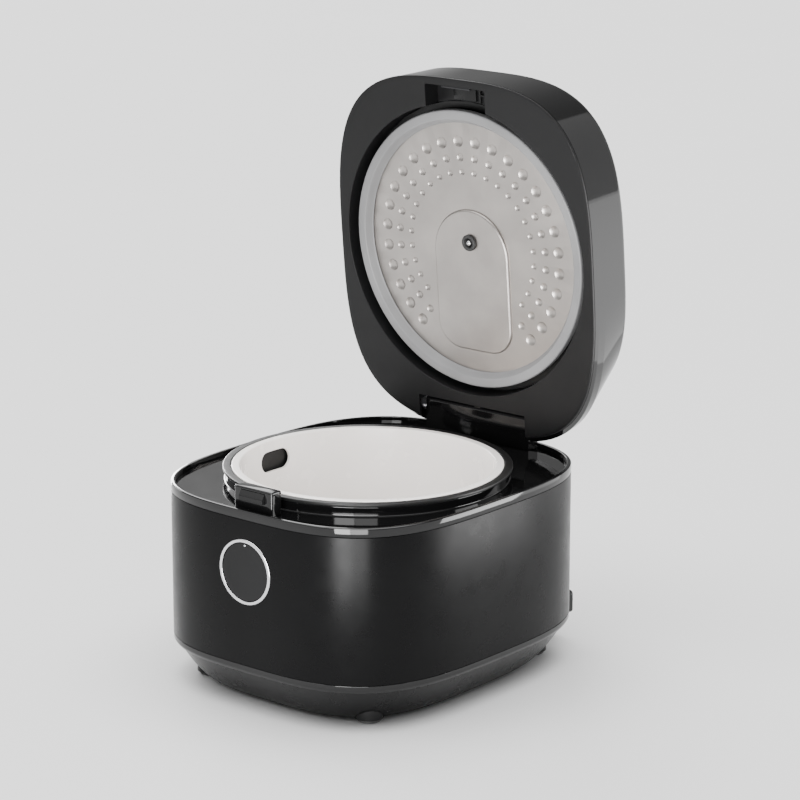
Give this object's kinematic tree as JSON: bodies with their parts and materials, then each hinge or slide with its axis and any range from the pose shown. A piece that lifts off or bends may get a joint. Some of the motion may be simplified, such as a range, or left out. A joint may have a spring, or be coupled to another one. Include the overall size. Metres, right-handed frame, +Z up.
{
  "type": "rice cooker",
  "caption": "Free-standing rice cooker with a sprung hinged lid, lift-out inner pot, steaming basket, push-button lid release and rear mains inlet.",
  "frame": {"origin": "on the table plane under the feet, at the middle of the cooker as it stands with its lid open", "axes": "+Z up, -Y towards the front with the release button, +X to the right seen from the front"},
  "size_m": [0.26, 0.3262, 0.4632],
  "materials": {
    "satin_black": "satin",
    "gloss_black": "gloss",
    "matte_dark_grey": "matte",
    "pot_coating": "satin non-stick coating",
    "warm_white": "gloss",
    "stainless_steel": "fine brushed",
    "spring_steel": "satin",
    "chrome": "polished",
    "grey_silicone": "satin",
    "black_rubber": "matte",
    "cast_aluminium": "satin",
    "circuit_board": "satin",
    "dark_plastic": "matte",
    "brass": "polished",
    "indicator": "gloss"
  },
  "bodies": {
    "cooker_body": {"outer_shell": "satin_black", "base_band": "gloss_black", "rim_band": "gloss_black", "top_deck": "gloss_black", "latch_housing": "gloss_black", "hinge_housing": "gloss_black", "case_screw_front_left": "spring_steel", "case_screw_front_right": "spring_steel", "case_screw_rear_left": "spring_steel", "case_screw_rear_right": "spring_steel", "plate_support": "spring_steel", "heating_tube": "spring_steel", "sensor_bracket": "spring_steel", "sensor_spring": "spring_steel", "button_spring": "spring_steel", "lever_pin": "spring_steel", "transformer": "spring_steel", "capacitor": "spring_steel", "hinge_pin": "spring_steel", "hinge_spring_left": "spring_steel", "hinge_spring_right": "spring_steel", "button_ring": "chrome", "foot_front_left": "black_rubber", "foot_front_right": "black_rubber", "foot_rear_left": "black_rubber", "foot_rear_right": "black_rubber", "well_liner": "cast_aluminium", "heating_plate": "cast_aluminium", "control_board": "circuit_board", "power_board": "circuit_board", "base_pan": "dark_plastic", "button_guide": "dark_plastic", "lever_bracket": "dark_plastic", "relay": "dark_plastic", "rear_inlet": "dark_plastic", "inlet_blade_live": "brass", "inlet_blade_earth": "brass", "inlet_blade_neutral": "brass"},
    "lid": {"lid_outer_shell": "gloss_black", "lid_frame": "matte_dark_grey", "latch_catch": "spring_steel", "hinge_arm_left": "spring_steel", "hinge_arm_right": "spring_steel", "lid_heat_shield": "pot_coating", "steam_duct": "grey_silicone", "vent_seat": "dark_plastic"},
    "inner_lid": {"inner_lid_plate": "stainless_steel", "inner_lid_gasket": "grey_silicone", "steam_valve": "black_rubber", "valve_ball": "stainless_steel"},
    "vent_cap": {"vent_cap": "gloss_black"},
    "pot": {"inner_pot": "pot_coating"},
    "basket": {"steam_basket": "warm_white"},
    "sensor": {"sensor_cup": "cast_aluminium"},
    "button": {"front_button": "satin_black", "indicator_lens": "indicator"},
    "lever": {"release_lever": "spring_steel"},
    "bolt": {"latch_bolt": "dark_plastic"}
  },
  "joints": [
    {"name": "lid_hinge", "type": "hinge", "parent": "cooker_body", "child": "lid", "pos_m": [0, 0.12353, 0.1768], "axis": [-1, 0, 0], "range_deg": [-84.9, 0], "stiffness_Nm_per_rad": 0.9, "springref_deg": 34.38},
    {"name": "pot_lift", "type": "slide", "parent": "cooker_body", "child": "pot", "axis": [0, 0, 1], "range_m": [0, 0.058]},
    {"name": "basket_lift", "type": "slide", "parent": "pot", "child": "basket", "axis": [0, 0, 1], "range_m": [0, 0.0926]},
    {"name": "inner_lid_pull", "type": "slide", "parent": "lid", "child": "inner_lid", "axis": [0, -0.996, -0.0889], "range_m": [0, 0.008]},
    {"name": "vent_cap_lift", "type": "slide", "parent": "lid", "child": "vent_cap", "axis": [0, 0.996, 0.0889], "range_m": [0, 0.015]},
    {"name": "front_button_press", "type": "slide", "parent": "cooker_body", "child": "button", "axis": [0, 1, 0], "range_m": [0, 0.00149], "stiffness_N_per_m": 1500, "springref_m": -0.003, "deforming": ["button_spring"]},
    {"name": "release_lever_turn", "type": "hinge", "parent": "cooker_body", "child": "lever", "pos_m": [0, -0.14982, 0.0564], "axis": [-1, 0, 0], "range_deg": [0, 1.51]},
    {"name": "latch_bolt_slide", "type": "slide", "parent": "cooker_body", "child": "bolt", "axis": [0, 1, 0], "range_m": [0, 0.00301]},
    {"name": "sensor_plunge", "type": "slide", "parent": "cooker_body", "child": "sensor", "axis": [0, 0, 1], "range_m": [-0.003, 0], "stiffness_N_per_m": 800, "springref_m": 0.004, "deforming": ["sensor_spring"]}
  ],
  "couplings": [
    {"joint": "release_lever_turn", "follows": "front_button_press", "rad_per_m": 17.452},
    {"joint": "latch_bolt_slide", "follows": "front_button_press", "ratio": 2.007}
  ]
}
